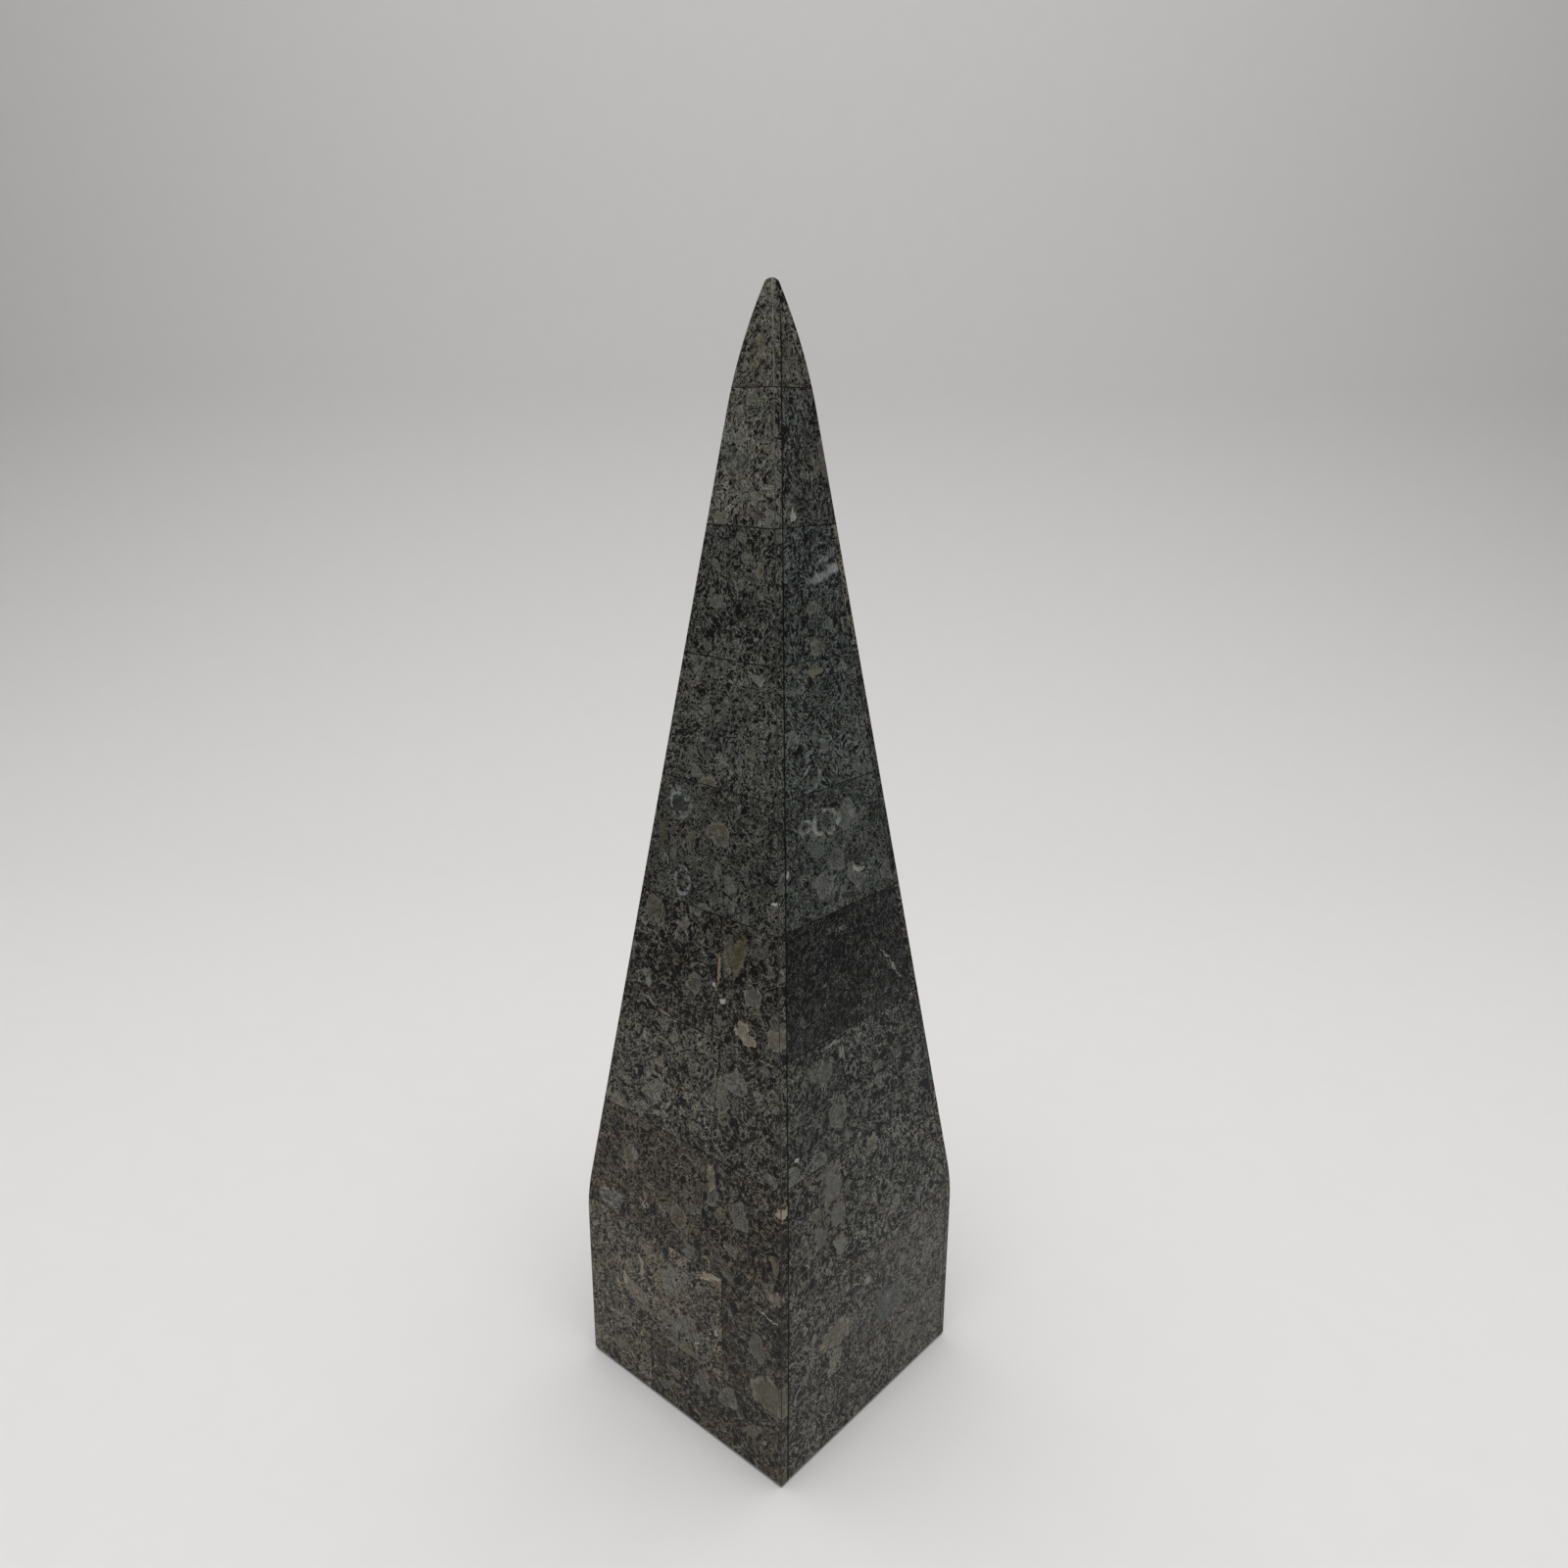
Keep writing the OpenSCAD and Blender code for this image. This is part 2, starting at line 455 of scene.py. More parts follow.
def mark_reach(across, up, mark):
    """Distance from the middle of a mark, where 1 is its edge."""
    cos, sin = math.cos(math.radians(mark.turn)), math.sin(math.radians(mark.turn))
    right, high = across - mark.at[0], up - mark.at[1]
    long = (right * cos + high * sin) / mark.size[0]
    short = (high * cos - right * sin) / mark.size[1]
    return (long * long + short * short) ** 0.5


def stone(name, face, cut, marks=()):
    """The finish of one slab: its cut of the stone, and the marks that lie in it."""
    material, shader, place = new_finish(name)
    out, along = face_axes(face)
    turned = {"Vector": place, "Location": SEED_STEP * cut.seed, "Rotation": out * -math.radians(cut.lean)}
    bedded = place.node("ShaderNodeMapping", None, turned)
    body = {"Place": bedded, "Stretch": (cut.fine, cut.fine, cut.fine / cut.length),
            "Tone": cut.tone, "Warmth": cut.warmth, "Flecks": cut.flecks,
            "Grains": cut.grains, "Lines": cut.lines, "Shells": cut.shells}
    colour = place.node("ShaderNodeGroup", {"node_tree": STONE}, body, "Mud")
    dark, pale, dust, broken = (colour.beside(socket) for socket in ("Dark", "Pale", "Dust", "Broken"))

    # the marks, with ragged edges, inner grain and broken rims
    across = place.node("ShaderNodeVectorMath", {"operation": "DOT_PRODUCT"}, {0: place, 1: along}, "Value")
    drift = noise(bedded + 61.0, 0.35, 2.0) - 0.5
    up = place.node("ShaderNodeSeparateXYZ", None, {0: place}, "Z")
    rove = noise(bedded + 83.0, 0.35, 2.0) - 0.5
    rims = []
    for mark in marks:
        stray = STRAY[mark.shape]
        edge = mark_reach(across + drift * stray, up + rove * stray, mark) + (dust - 0.5) * 0.5
        if mark.shape in FADE:
            cover = fall(edge, FADE[mark.shape], 1.05, mark.strength) * (0.6 + broken * 0.8)
            colour = tint(cover, colour, mark.colour)
            dark = dark * (1 - cover * 0.85)
        if mark.shape in RIMS:
            width, gain = RIMS[mark.shape]
            share = fall(abs(edge - 1.0), 0.3 * width, width, mark.strength)
            rims.append((share * rise(broken, 0.40, 0.56), shade(mark.colour, gain)))
    colour = tint(dark, colour * (0.55 + dust * 0.9), FLECK_BLACK)
    colour = tint(pale, colour, LINE_PALE)
    for share, rim_colour in rims:
        colour = tint(share, colour, rim_colour)

    feed(shader, "Base Color", colour)
    feed(shader, "Roughness", 0.20 + dust * 0.10)
    shader.inputs["Specular IOR Level"].default_value = STONE_GLOSS
    return material


print("stone recipe ready")

# %% [markdown]
# ## Which stone goes where
#
# The mason took each slab as it came from the pile, so tone, grain and lean change from slab to slab.
# Each cut below says what its slab looks like, in round steps. The wide courses at the foot are made of
# two slabs side by side. The marks are what the eye remembers: shells, worm rings, veins, chips and
# stains.

# %% Colours of the marks
CREAM = (0.36, 0.315, 0.225, 1)
SHELL_WHITE = (0.48, 0.475, 0.43, 1)
VEIN_WHITE = (0.42, 0.42, 0.43, 1)
BLUE_WHITE = (0.245, 0.265, 0.26, 1)
OLIVE = (0.085, 0.072, 0.042, 1)
PALE_OLIVE = (0.118, 0.107, 0.078, 1)
RUST = (0.27, 0.205, 0.13, 1)
ROSE = (0.20, 0.175, 0.135, 1)
FLAT_GREY = (0.124, 0.124, 0.112, 1)
TEAL_GREY = (0.080, 0.098, 0.092, 1)
BEIGE = (0.150, 0.137, 0.104, 1)
DARK_BLUE = (0.022, 0.026, 0.028, 1)
DARK_LENS = (0.008, 0.008, 0.007, 1)
print("palest mark:", SHELL_WHITE[:3], "darkest mark:", DARK_LENS[:3])

# %% Cuts of the front
CUTS = {}
CUTS["front"] = {
    1: (Cut(1.2, 0.9, 1.2, 1.4, -50, 0.6, 0.5, 0.6, 1.3, 1),
        Cut(0.9, 0.9, 1.3, 1.2, -40, 0.4, 0.4, 0.6, 1.3, 2)),
    2: (Cut(1.3, 0.9, 1.2, 1.5, -50, 0.8, 0.8, 0.6, 1.3, 3),
        Cut(0.7, 1.0, 1.3, 1.2, -40, 0.5, 0.5, 0.6, 1.3, 4)),
    3: (Cut(0.9, 0.9, 1.2, 1.3, -50, 0.3, 0.4, 0.4, 1.4, 5),
        Cut(0.8, 0.9, 1.4, 1.2, 0, 0.5, 0.4, 0.6, 1.3, 6)),
    4: (Cut(1.3, 0.6, 1.3, 1.5, -55, 0.6, 1.0, 0.5, 1.4, 7),
        Cut(1.2, 0.6, 1.4, 1.3, -45, 0.6, 0.8, 0.6, 1.4, 8)),
    5: (Cut(1.0, 0.5, 1.4, 1.3, -70, 0.4, 0.3, 0.5, 1.4, 9),
        Cut(0.9, 0.6, 1.4, 1.2, -30, 0.6, 0.4, 0.7, 1.3, 10)),
    6: (Cut(0.9, 0.3, 1.2, 1.2, -60, 0.3, 0.4, 0.4, 1.8, 11),),
    7: (Cut(1.2, 0.3, 1.2, 1.4, -65, 0.5, 0.4, 0.4, 1.8, 12),),
    8: (Cut(1.1, 0.3, 1.3, 1.5, 10, 0.4, 0.1, 0.3, 1.8, 13),),
    9: (Cut(1.5, 0.4, 1.1, 1.3, 10, 0.8, 0.2, 0.4, 1.8, 14),),
    10: (Cut(1.2, 0.5, 1.0, 1.4, 10, 0.6, 0.2, 0.1, 1.8, 16),),
}
print("front slabs:", sum(len(cuts) for cuts in CUTS["front"].values()))

# %% Marks of the front
MARKS = {}
MARKS["front"] = {
    1: (Mark("shell", PALE_OLIVE, (46, 36.5), (9, 7), 0, 0.9),
        Mark("patch", CREAM, (19.6, 29.5), (1.6, 1.4)),
        Mark("shell", FLAT_GREY, (12.5, 21.7), (3.5, 4.5), 20, 0.7),
        Mark("patch", BEIGE, (-33, 13), (5, 3), 0, 0.5)),
    2: (Mark("shell", PALE_OLIVE, (46, 36.5), (9, 7), 0, 0.9),
        Mark("patch", CREAM, (-20.5, 57), (0.9, 5.5), 8),
        Mark("patch", CREAM, (-30, 46), (0.9, 4), 5),
        Mark("patch", CREAM, (-34, 41), (2.8, 0.9), -40),
        Mark("shell", CREAM, (17, 71.5), (5, 1.4), 24, 0.8),
        Mark("patch", SHELL_WHITE, (45, 69.8), (5.5, 0.5), -12),
        Mark("patch", SHELL_WHITE, (18.8, 48.8), (1.2, 1.0)),
        Mark("patch", SHELL_WHITE, (10, 38.3), (1.2, 0.9)),
        Mark("shell", FLAT_GREY, (4.2, 42.5), (5, 4), 0, 0.6),
        Mark("patch", DARK_LENS, (48, 61), (1.5, 2.5), 0, 1.0)),
    3: (Mark("shell", BEIGE, (12.9, 107.5), (1.9, 4.3), 0, 1.0),
        Mark("patch", DARK_LENS, (9.6, 79.5), (2, 5.5), 0, 0.9),
        Mark("patch", CREAM, (14, 77), (0.6, 3.5), 50),
        Mark("shell", BLUE_WHITE, (-37.5, 78), (6.5, 3), 15, 0.4),
        Mark("patch", CREAM, (45.6, 108.5), (1.6, 1.8), 0, 1.0),
        Mark("shell", ROSE, (47.5, 78.3), (2.4, 2.2), 0, 0.7),
        Mark("patch", SHELL_WHITE, (-18.8, 83.8), (1, 1.2)),
        Mark("patch", DARK_LENS, (47.5, 98.5), (1.6, 3.5), 0, 1.0)),
    4: (Mark("patch", DARK_LENS, (12.5, 130), (0.9, 5.5), 0, 1.0),
        Mark("patch", DARK_LENS, (23.8, 153.3), (2.8, 1.6), -40, 0.9),
        Mark("patch", BEIGE, (13.3, 141.7), (5, 3), 20, 0.6),
        Mark("ring", DARK_LENS, (23, 130), (8, 3.6), 8, 0.9),
        Mark("ring", DARK_LENS, (-9, 137), (4.5, 3.2), 20, 0.8),
        Mark("patch", DARK_LENS, (41.5, 130), (1.2, 4), 0, 0.9)),
    5: (Mark("shell", OLIVE, (16.7, 190), (2.6, 6.5), -14, 0.9),
        Mark("patch", BEIGE, (12, 190), (2.6, 7), -8, 0.6),
        Mark("patch", RUST, (8.2, 183), (0.8, 6), 3, 1.0),
        Mark("patch", SHELL_WHITE, (7.5, 176.4), (1.1, 0.9), 0, 1.0),
        Mark("patch", SHELL_WHITE, (11.5, 172.7), (1.4, 1.2), 0, 1.0),
        Mark("shell", ROSE, (21, 165), (3, 2.8), 0, 1.0),
        Mark("shell", ROSE, (24.6, 163.2), (3, 2.4), 0, 1.0),
        Mark("shell", FLAT_GREY, (24.2, 178.3), (3.4, 3), 0, 0.8),
        Mark("patch", GRAIN_PALE, (-26.3, 168.3), (1.8, 1.4), 0, 1.0),
        Mark("patch", GRAIN_PALE, (-28, 171.5), (1.7, 1.5), 0, 0.8),
        Mark("patch", RUST, (-17, 159.5), (3.6, 1.0), -12, 0.9),
        Mark("patch", SHELL_WHITE, (-24, 161), (3, 0.4), -18),
        Mark("shell", BEIGE, (36, 167), (3, 3.6), 0, 0.8)),
    6: (Mark("patch", DARK_BLUE, (-17.9, 235.8), (4.2, 4), 0, 0.55),
        Mark("ring", BLUE_WHITE, (-17.9, 235.8), (3.8, 3.6), 0, 1.0),
        Mark("ring", BLUE_WHITE, (-17.6, 236), (5.6, 5.2), 0, 0.6),
        Mark("patch", OLIVE, (-24.2, 223.3), (2.5, 5), 0, 0.6),
        Mark("patch", BEIGE, (-10, 224.2), (2, 4.4), -10, 0.55),
        Mark("ring", BLUE_WHITE, (-12.9, 209), (3.6, 4.6), 0, 0.9),
        Mark("patch", SHELL_WHITE, (30.3, 212.5), (1.2, 1.0), 0, 1.0)),
    7: (Mark("shell", GRAIN_PALE, (14, 282.8), (2.8, 2.0), 20, 0.8),
        Mark("patch", BEIGE, (14, 258), (2.6, 2), 0, 0.6)),
    8: (Mark("patch", BEIGE, (2.5, 312), (1.2, 2.5), 10, 0.5),),
    9: (Mark("haze", GRAIN_PALE, (-5, 349), (7, 6), 0, 0.35),
        Mark("patch", BEIGE, (-9, 332), (2.5, 2.2), 0, 0.9),
        Mark("patch", FLAT_GREY, (11.7, 331.5), (1.8, 1.6))),
    10: (Mark("haze", RUST, (1.5, 384), (4, 8), 0, 0.22),),
}
print("front marks:", sum(len(marks) for marks in MARKS["front"].values()))

# %% Cuts of the right side
CUTS["right"] = {
    1: (Cut(1.2, 0.5, 1.3, 1.3, 40, 0.6, 0.5, 0.6, 1.3, 21),
        Cut(1.0, 0.5, 1.0, 1.4, 45, 0.4, 0.5, 0.6, 1.3, 22)),
    2: (Cut(1.2, 0.5, 1.3, 1.4, 45, 0.6, 0.6, 0.6, 1.3, 23),
        Cut(1.1, 0.4, 1.2, 1.4, 45, 0.6, 0.7, 0.7, 1.3, 24)),
    3: (Cut(1.1, 0.5, 1.3, 1.3, -40, 0.5, 0.6, 0.5, 1.3, 25),
        Cut(1.3, 0.3, 1.3, 1.4, 45, 0.5, 0.6, 0.5, 1.3, 26)),
    4: (Cut(0.9, 0.2, 1.4, 1.3, -40, 0.5, 0.7, 0.4, 1.4, 27),
        Cut(1.1, 0.2, 1.4, 1.3, 45, 0.5, 0.5, 0.4, 1.4, 28)),
    5: (Cut(0.5, 0.1, 1.5, 1.1, -20, 0.1, 0.1, 0.1, 1.5, 29),
        Cut(0.5, 0.0, 1.4, 1.1, 20, 0.1, 0.3, 0.2, 1.5, 30)),
    6: (Cut(0.8, -0.3, 1.2, 1.2, 40, 0.6, 0.8, 0.5, 1.6, 31),),
    7: (Cut(1.1, 0.0, 1.2, 1.5, 75, 0.6, 0.4, 0.5, 1.8, 32),),
    8: (Cut(1.0, -0.4, 1.3, 1.5, -20, 0.5, 0.2, 0.3, 1.6, 33),),
    9: (Cut(1.1, 0.2, 1.3, 1.5, -10, 0.4, 0.1, 0.3, 1.8, 34),),
    10: (Cut(1.0, 0.4, 1.0, 1.5, -10, 0.5, 0.1, 0.2, 1.8, 35),),
}
print("right slabs:", sum(len(cuts) for cuts in CUTS["right"].values()))

# %% Marks of the right side
MARKS["right"] = {
    1: (Mark("shell", BEIGE, (25, 18), (5, 3), 20, 0.5),),
    2: (Mark("haze", SHELL_WHITE, (-2.5, 59), (3.6, 2.2), -30, 0.6),
        Mark("shell", BEIGE, (-21, 47), (8, 5), -8, 0.8),
        Mark("patch", TEAL_GREY, (11, 41), (10, 8), -10, 0.6)),
    3: (Mark("patch", FLAT_GREY, (-19, 106), (5, 5.5), 0, 1.0),
        Mark("patch", FLAT_GREY, (-20.5, 112.5), (6, 2), 0, 0.7),
        Mark("patch", FLAT_GREY, (-17.5, 95), (4.5, 4.5), 20, 0.9),
        Mark("patch", FLAT_GREY, (-28, 91), (3.2, 5), 10, 0.8),
        Mark("shell", BEIGE, (4, 111), (3.5, 2.4), 10, 0.6)),
    4: (Mark("haze", SHELL_WHITE, (-7.5, 152), (2.2, 3.4), 0, 0.7),
        Mark("haze", SHELL_WHITE, (-12, 156.3), (8, 0.9), 2, 0.6),
        Mark("haze", FLAT_GREY, (-18, 148), (7, 6), 0, 0.7),
        Mark("patch", CREAM, (14, 146), (4, 0.7), 8, 0.5),
        Mark("patch", SHELL_WHITE, (-35.8, 123.8), (1.3, 1.0), 0, 1.0),
        Mark("patch", GRAIN_PALE, (-7.9, 120.4), (1.2, 2), 0, 0.8)),
    5: (Mark("patch", SHELL_WHITE, (24.5, 173.5), (0.4, 11), 34, 0.6),),
    6: (Mark("ring", BLUE_WHITE, (-15.4, 233.8), (3.4, 2.2), 0, 1.0),
        Mark("haze", BLUE_WHITE, (-15.4, 233.8), (5.2, 3.4), 0, 0.5),
        Mark("haze", DARK_LENS, (-15.2, 233.9), (2.4, 1.8), 0, 0.9),
        Mark("ring", SHELL_WHITE, (-4.6, 233), (6, 4.4), 0, 0.5),
        Mark("patch", GRAIN_PALE, (9.6, 232.5), (1.8, 1.6), 0, 0.9),
        Mark("patch", SHELL_WHITE, (-25.8, 220.8), (1.2, 1.5), 0, 0.8),
        Mark("patch", SHELL_WHITE, (10.5, 213), (4.5, 0.5), -18, 0.7)),
    7: (Mark("patch", BEIGE, (-3.3, 283.4), (4.5, 1.5), 0, 1.0),
        Mark("shell", FLAT_GREY, (-1.7, 259), (2, 2.1), 0, 0.9),
        Mark("patch", BLUE_WHITE, (-10.8, 256), (2.6, 1.4), -15, 0.6),
        Mark("ring", BLUE_WHITE, (-10, 249), (5, 3.4), 30, 0.7),
        Mark("ring", FLAT_GREY, (12, 250), (4, 2), 15, 0.9),
        Mark("patch", FLAT_GREY, (22.5, 246.5), (2.6, 2.2), 0, 0.9)),
    8: (Mark("haze", VEIN_WHITE, (14, 316.6), (8, 2.4), 14, 0.75),
        Mark("haze", VEIN_WHITE, (4, 313.6), (9, 2.0), 10, 0.6),
        Mark("haze", VEIN_WHITE, (9, 320), (9, 1.5), 22, 0.4),
        Mark("patch", GRAIN_PALE, (14, 298.8), (1.2, 1.2), 0, 0.9),
        Mark("patch", BEIGE, (0, 291.7), (4.5, 3), 0, 0.5)),
    9: (Mark("patch", SHELL_WHITE, (-6.7, 333.6), (1.5, 2.4), 0, 0.8),),
    10: (),
}
print("right marks:", sum(len(marks) for marks in MARKS["right"].values()))

# %% [markdown]
# ## The sides that the picture doesn't show
#
# The back and the left side are clad from the same pile. Six stones for each side, from dark to light
# and otherwise picked at random from one fixed seed, are laid so that a slab and the ones above it
# differ.

# %% Stones of the two hidden sides
PILE = random.Random(11)
PILE_STONES = 6
DARKEST = 0.6
LIGHTEST = 1.3
MARKS_EACH = 2
MARKS_REACH_SHARE = 0.4
MARK_COLOURS = (CREAM, SHELL_WHITE, BLUE_WHITE, OLIVE, RUST, FLAT_GREY, BEIGE)
WIDE_COURSES = range(1, 6)
BACK_SEED = 41
LEFT_SEED = 51


def picked_cut(number, first_seed):
    return Cut(tone=DARKEST + (LIGHTEST - DARKEST) * number / (PILE_STONES - 1),
               warmth=PILE.uniform(-0.1, 0.9),
               flecks=PILE.uniform(1.1, 1.4),
               length=PILE.uniform(1.1, 1.5),
               lean=PILE.uniform(-70, 70),
               grains=PILE.uniform(0.3, 0.8),
               lines=PILE.uniform(0.2, 0.8),
               shells=PILE.uniform(0.3, 0.8),
               fine=PILE.uniform(1.15, 1.6),
               seed=first_seed + number)


def picked_mark(low, high, reach):
    return Mark(shape=PILE.choice(("patch", "shell", "ring")),
                colour=PILE.choice(MARK_COLOURS),
                at=(PILE.uniform(-reach, reach), PILE.uniform(low, high)),
                size=(PILE.uniform(1, 4), PILE.uniform(0.6, 3)),
                turn=PILE.uniform(-60, 60),
                strength=0.6)


print("stones for each hidden side:", PILE_STONES)

# %% Lay the stones
def lay_hidden_side(side, first_seed):
    """The finishes of each course of a hidden side."""
    laid = {}
    marks = {n: [] for n in range(PILE_STONES)}
    turn = 0
    for course in COURSES:
        low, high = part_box(f"{side}_slab_{course}")
        reach = MARKS_REACH_SHARE * max(high.x - low.x, high.y - low.y) / MM
        laid[course] = [(turn + n) % PILE_STONES for n in range(2 if course in WIDE_COURSES else 1)]
        turn += PILE.choice((2, 3))
        for number in laid[course] * MARKS_EACH:
            marks[number].append(picked_mark(low.z / MM, high.z / MM, reach))
    pile = [stone(f"stone_{side}_{n + 1}", side, picked_cut(n, first_seed), marks[n])
            for n in range(PILE_STONES)]
    return {course: [pile[n] for n in numbers] for course, numbers in laid.items()}


def dress_seen_side(side):
    """The finishes of each course of a side that the picture shows."""
    return {course: [stone(f"stone_{side}_{course}_{n + 1}", side, cut, MARKS[side][course])
                     for n, cut in enumerate(CUTS[side][course])] for course in COURSES}


FINISHES = {"front": dress_seen_side("front"), "right": dress_seen_side("right"),
            "back": lay_hidden_side("back", BACK_SEED), "left": lay_hidden_side("left", LEFT_SEED)}
print("stone finishes:", sum(name.startswith("stone_") for name in bpy.data.materials.keys()))

# %% [markdown]
# ## The slabs
#
# A slab from the frame is loose triangles, so a copy is merged and its flat faces are joined first. The
# frame's corners carry a flat where the mason rubbed the sharp edge off. On the real piece that flat is
# softer, so its edges get a small bevel, and so does the foot. The rubbed flat has a finish of its own,
# plainer than the stone, and a painted highlight on it grows paler towards the tip. Beside the front
# slabs some resin was smeared past the joint, so a fine strip of the left and right slabs is marked off
# there and shows resin. Joints stay sharp, because the cladding was ground flush after it was bedded.

# %% Finishes of the edges
RESIN_GLOSS = 0.05
# where the painted highlight on the rubbed corners begins and where it is full, in millimetres up, and
# below its pale colour
HIGHLIGHT_FROM = 320
HIGHLIGHT_FULL = 385
RESIN_DARK = (0.004, 0.004, 0.004, 1)
RESIN_GREY = (0.012, 0.012, 0.011, 1)
RUBBED_DARK = (0.045, 0.045, 0.040, 1)
PAINTED_HIGHLIGHT_PALE = (0.17, 0.17, 0.15, 1)

resin, resin_shader, resin_place = new_finish("joint_resin")
resin_share = rise(noise(resin_place, 0.12, 3.0), 0.42, 0.62)
feed(resin_shader, "Base Color", tint(resin_share, RESIN_DARK, RESIN_GREY))
feed(resin_shader, "Roughness", 0.5 + noise(resin_place, 0.8, 2.0) * 0.2)
resin_shader.inputs["Specular IOR Level"].default_value = RESIN_GLOSS

# the rubbed corners: a plain dark flat with a painted highlight in patches that grows paler towards the tip
arris_and_highlight, rubbed_shader, rubbed_place = new_finish("rubbed_corner_painted_highlight")
rubbed_up = rubbed_place.node("ShaderNodeSeparateXYZ", None, {0: rubbed_place}, "Z")
painted_highlight_share = rise(noise(rubbed_place, 0.25, 3.0), 0.30, 0.55)
painted_highlight_share = painted_highlight_share * rise(rubbed_up, HIGHLIGHT_FROM, HIGHLIGHT_FULL)
feed(rubbed_shader, "Base Color", tint(painted_highlight_share, RUBBED_DARK, PAINTED_HIGHLIGHT_PALE))
feed(rubbed_shader, "Roughness", 0.3 + noise(rubbed_place, 0.8, 2.0) * 0.2)
rubbed_shader.inputs["Specular IOR Level"].default_value = STONE_GLOSS
print("edge finishes:", resin.name, arris_and_highlight.name)

# %% Take a slab from the frame and soften it
MERGE = 0.001 * MM
FLAT_ANGLE = math.radians(0.2)
CORNER_ANGLES = (math.radians(25), math.radians(65))
SOFT_CORNER = 0.12 * MM
SOFT_FOOT = 0.5 * MM
SOFT_SEGMENTS = 2
FOOT_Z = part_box("front_slab_1")[0].z
# how far a face's normal points along a direction to count as facing it, or as turned towards it
FACING = 0.9
TURNED = 0.5


def merged(node):
    """A slab of the frame as one merged mesh with whole flat faces."""
    bm = bmesh.new()
    bm.from_mesh(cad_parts[node].data)
    bmesh.ops.remove_doubles(bm, verts=bm.verts, dist=MERGE)
    bmesh.ops.dissolve_limit(bm, angle_limit=FLAT_ANGLE, verts=bm.verts, edges=bm.edges)
    return bm


def soften(bm, out):
    """Eases the rubbed corners and the foot of a slab."""
    low, high = CORNER_ANGLES
    corners = [e for e in bm.edges if low < e.calc_face_angle(0) < high]
    bevel(bm, corners, SOFT_CORNER, SOFT_SEGMENTS)
    foot = [e for e in bm.edges if max(v.co.z for v in e.verts) < FOOT_Z + MERGE
            and any(f.normal.dot(out) > FACING for f in e.link_faces)]
    bevel(bm, foot, SOFT_FOOT, SOFT_SEGMENTS)


print("foot of the slabs:", round(FOOT_Z / MM, 1), "mm above the floor")

# %% Find the faces of each finish
SMEAR_W = 0.35 * MM
RUBBED_ANGLES = (math.radians(20), math.radians(70))
# how far out along its face, as a share of half the width, the end of a slab lies
OUTER_SHARE = 0.6


def second_slab(bm, along):
    """Faces of the slab to the right of a course's upright seam."""
    second = set()
    queue = [max(bm.faces, key=lambda f: f.calc_center_median().dot(along))]
    while queue:
        face = queue.pop()
        if face not in second:
            second.add(face)
            queue.extend(other for edge in face.edges for other in edge.link_faces)
    return second


def smeared_edges(bm, out, along):
    """Marks off a strip along the edge of a slab that meets the front slabs. Gives its faces."""
    reach = max(v.co.dot(along) for v in bm.verts)
    ends = [(f.calc_center_median(), f.normal.copy()) for f in bm.faces
            if abs(f.normal.dot(along)) > TURNED and f.normal.y < -TURNED
            and abs(f.calc_center_median().dot(along)) > OUTER_SHARE * reach]
    for place, normal in ends:
        bmesh.ops.bisect_plane(bm, geom=bm.verts[:] + bm.edges[:] + bm.faces[:], dist=MERGE,
                               plane_co=place - normal * SMEAR_W, plane_no=normal)
    return [f for f in bm.faces if f.normal.dot(out) > TURNED
            and any((f.calc_center_median() - place).dot(normal) > -SMEAR_W for place, normal in ends)]


def rubbed_flats(bm, out, along):
    """Faces of the flats rubbed along the outer corners."""
    turns = {f: math.atan2(abs(f.normal.dot(along)), abs(f.normal.dot(out))) for f in bm.faces}
    low, high = RUBBED_ANGLES
    return [f for f, turn in turns.items() if low < turn < high]


EDGE_FINISH = {"front": (rubbed_flats, arris_and_highlight), "back": (rubbed_flats, arris_and_highlight),
               "left": (smeared_edges, resin), "right": (smeared_edges, resin)}
print("smear of resin:", round(SMEAR_W / MM, 2), "mm wide")

# %% Make the slabs
SHARP_ANGLE = math.radians(10)

slab_count = 0
for side in FACES:
    out, along = face_axes(side)
    for course in COURSES:
        node = f"{side}_slab_{course}"
        bm = merged(node)
        soften(bm, out)
        finishes = FINISHES[side][course]
        if len(finishes) == 2:
            for face in second_slab(bm, along):
                face.material_index = 1
        edge_faces, edge_finish = EDGE_FINISH[side]
        for face in edge_faces(bm, out, along):
            face.material_index = len(finishes)
        for face in bm.faces:
            face.smooth = True
        for edge in bm.edges:
            edge.smooth = edge.calc_face_angle(0) < SHARP_ANGLE
        slab = link_piece(bm, f"stone_{node}", finishes[0])
        for finish in finishes[1:] + [edge_finish]:
            slab.data.materials.append(finish)
        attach(slab, "root")
        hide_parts(node)
        slab_count += len(finishes)
print("slabs made:", slab_count)

# %% [markdown]
# ## The joints
#
# The gaps between slabs are filled with a dark mason's resin that was ground flush with the stone. It
# could be one inner body that shows through every gap, but that would lie inside the slabs. Instead
# each slab is copied once more, all its faces but those that look onto a joint are deleted, and what is
# left is thickened across the gap, so the filler has the true shape of the joint.

# %% Tell which faces look onto a joint
JOINT_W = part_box("front_slab_2")[0].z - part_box("front_slab_1")[1].z
SIDE_PAIR = ("left", "right")
# how far the end of a slab may lean outwards
SIDE_ON = 0.3


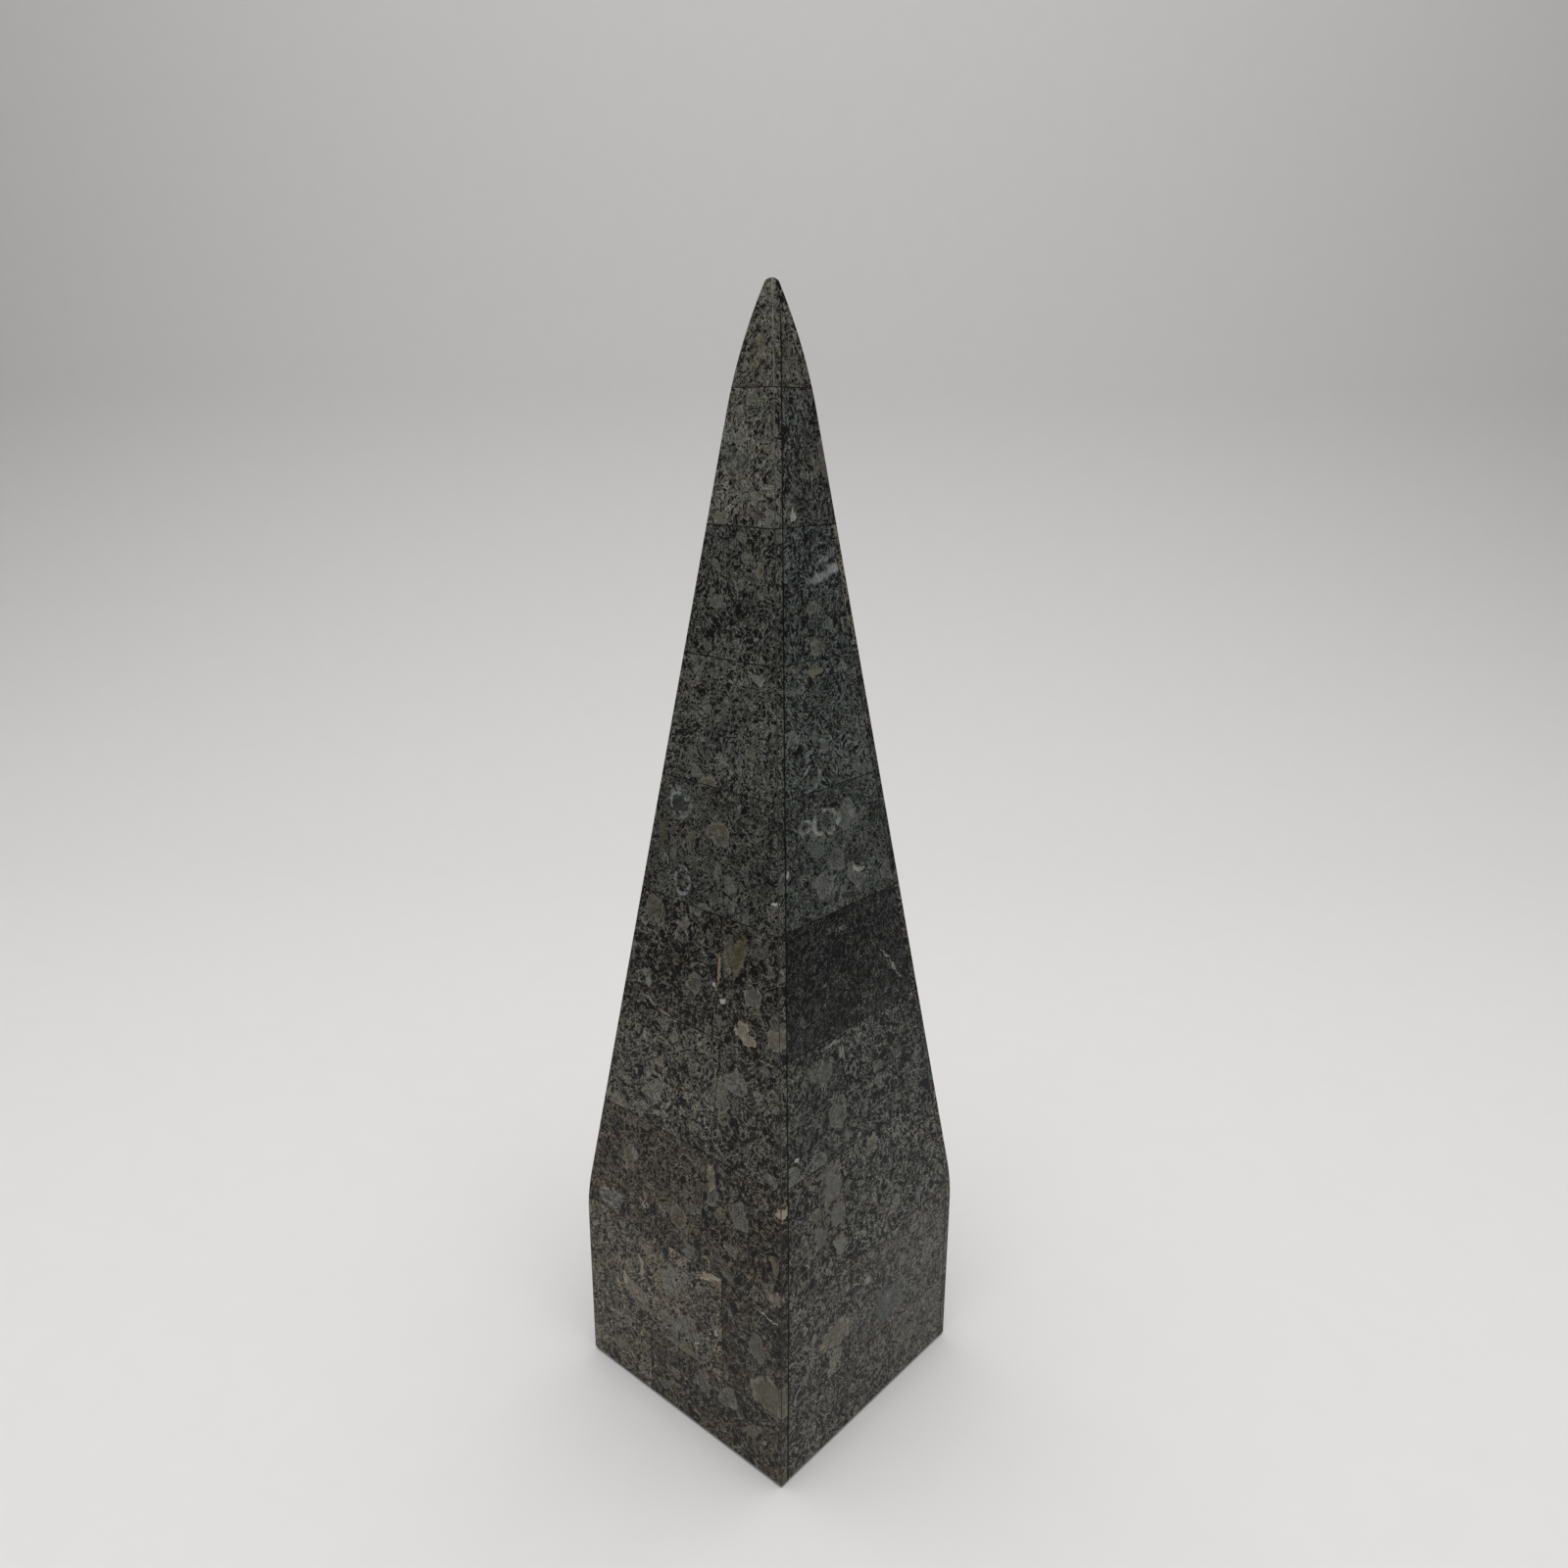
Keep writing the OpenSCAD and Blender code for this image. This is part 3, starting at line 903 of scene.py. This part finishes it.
def looks_onto_joint(face, side, course, reach):
    """Whether a face of a slab looks onto a joint that no other slab fills."""
    out, along = face_axes(side)
    place = face.calc_center_median()
    sideways = face.normal.dot(along)
    outwards = face.normal.dot(out)
    # the top of a course looks onto the joint with the next course
    if face.normal.z > FACING:
        return course < COURSES[-1]
    # at the tip the front slab looks onto the back slab
    if outwards < -FACING and abs(place.dot(out)) < JOINT_W:
        return side == "front"
    # other faces count only if they look along the obelisk's side
    if abs(sideways) < TURNED or abs(outwards) > SIDE_ON:
        return False
    # the joints beside the corners are filled from the left and right slabs
    if course not in WIDE_COURSES or abs(place.dot(along)) > OUTER_SHARE * reach:
        return side in SIDE_PAIR
    # an upright seam is filled from the slab on its left
    return sideways > 0


print("joint:", round(JOINT_W / MM, 2), "mm wide")

# %% Fill the joints
fill = bmesh.new()
kept_faces = bpy.data.meshes.new("kept_faces")
for side in FACES:
    for course in COURSES:
        bm = merged(f"{side}_slab_{course}")
        reach = max(v.co.dot(face_axes(side)[1]) for v in bm.verts)
        rest = [face for face in bm.faces if not looks_onto_joint(face, side, course, reach)]
        bmesh.ops.delete(bm, geom=rest, context="FACES")
        bm.to_mesh(kept_faces)
        fill.from_mesh(kept_faces)
        bm.free()
bpy.data.meshes.remove(kept_faces)
bmesh.ops.remove_doubles(fill, verts=fill.verts, dist=MERGE)
fill.normal_update()
bmesh.ops.solidify(fill, geom=fill.faces, thickness=-JOINT_W)
filler = link_piece(fill, "joint_filler", resin)
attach(filler, "root")
print("joint filler faces:", len(filler.data.polygons))

# %% [markdown]
# ## The core and the felt
#
# The core is sawn from plain wood and never shows, so its node stays as it is and gets a wood grain:
# rings round a long axis, stretched and bent by noise. The felt is a cut sheet glued under the base to
# spare the table. It is made as a soft-edged pad with a slightly ragged cut.

# %% Wood for the core
WOOD_PALE = (0.52, 0.34, 0.18, 1)
WOOD_DARK = (0.30, 0.17, 0.08, 1)

wood, wood_shader, wood_place = new_finish("core_wood")
stretched = wood_place * (1.0, 1.0, 0.06)
ring_settings = {"wave_type": "RINGS", "rings_direction": "Z"}
ring_sockets = {"Vector": stretched, "Scale": 0.06, "Distortion": 6.0, "Detail": 3.0, "Detail Scale": 0.4}
rings = stretched.node("ShaderNodeTexWave", ring_settings, ring_sockets, "Fac")
fibres = noise(wood_place * (1.0, 1.0, 0.03), 1.2, 3.0)
feed(wood_shader, "Base Color", tint(rings * 0.6 + fibres * 0.4, WOOD_DARK, WOOD_PALE))
feed(wood_shader, "Roughness", 0.55 + fibres * 0.25)
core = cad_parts["core"]
core.data.materials.clear()
core.data.materials.append(wood)
print("core finish:", core.data.materials[0].name)

# %% Felt under the base
FELT_GREEN = (0.012, 0.035, 0.020, 1)
FELT_LIGHT = (0.030, 0.065, 0.040, 1)
FELT_CELLS = 40
FELT_EDGE = 0.3 * MM
FELT_SEGMENTS = 3
FELT_RAG = 0.15 * MM

felt_finish, felt_shader, felt_place = new_finish("base_felt")
fuzz = noise(felt_place, 2.5, 4.0, 0.7)
matted = noise(felt_place, 0.25, 3.0)
feed(felt_shader, "Base Color", tint(fuzz * 0.7 + matted * 0.3, FELT_GREEN, FELT_LIGHT))
felt_shader.inputs["Roughness"].default_value = 0.95
felt_shader.inputs["Sheen Weight"].default_value = 0.4
felt_bump = fuzz.node("ShaderNodeBump", None, {"Strength": 0.6, "Distance": 0.3 * MM, "Height": fuzz})
feed(felt_shader, "Normal", felt_bump)

felt_low, felt_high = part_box("felt_pad")
felt_half = (felt_high.x - felt_low.x) / 2
bm = bmesh.new()
bmesh.ops.create_grid(bm, x_segments=FELT_CELLS, y_segments=FELT_CELLS, size=felt_half)
raised = bmesh.ops.extrude_face_region(bm, geom=bm.faces[:])["geom"]
top = [item for item in raised if isinstance(item, bmesh.types.BMVert)]
bmesh.ops.translate(bm, verts=top, vec=(0, 0, felt_high.z - felt_low.z))
bmesh.ops.recalc_face_normals(bm, faces=bm.faces)
rim = [e for e in bm.edges if e.calc_face_angle(0) > CREASE_ANGLE]
bevel(bm, rim, FELT_EDGE, FELT_SEGMENTS)
shears = random.Random(7)
for vert in bm.verts:
    if max(abs(vert.co.x), abs(vert.co.y)) > felt_half - 2 * FELT_EDGE:
        vert.co.xy *= 1 - shears.random() * FELT_RAG / felt_half
for face in bm.faces:
    face.smooth = True
felt = link_piece(bm, "felt_sheet", felt_finish)
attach(felt, "root")
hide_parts("felt_pad")
print("felt:", round(2 * felt_half / MM, 1), "mm square")
